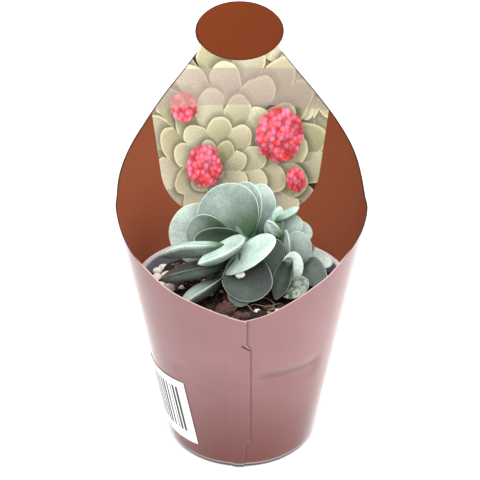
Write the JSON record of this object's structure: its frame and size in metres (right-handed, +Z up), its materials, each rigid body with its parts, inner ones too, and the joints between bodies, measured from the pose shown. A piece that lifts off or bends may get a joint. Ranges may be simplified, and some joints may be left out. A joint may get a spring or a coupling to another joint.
{
  "type": "potted crassula",
  "caption": "Crassula with thick, round grey-green leaves in a plastic nursery pot of soil, wrapped in a tall card sleeve with an oval tag and a paper label.",
  "frame": {"origin": "middle of the pot's base, on the surface that it stands on", "axes": "+Z up, -Y towards the front of the sleeve, where its notch and seam are, +X to the right seen from the front"},
  "size_m": [0.0986, 0.1055, 0.175],
  "materials": {
    "pot_plastic": "moulded satin",
    "potting_soil": "rough damp bark and peat",
    "leaf": "waxy matt",
    "pumice": "rough and dry",
    "coated_card": "gloss coated",
    "label_paper": "smooth"
  },
  "bodies": {
    "root": {"pot": "pot_plastic", "soil": "potting_soil", "head_main": "leaf", "head_right": "leaf", "head_front_right": "leaf", "caught_grain": "pumice", "sleeve": "coated_card", "label": "label_paper"}
  },
  "joints": []
}
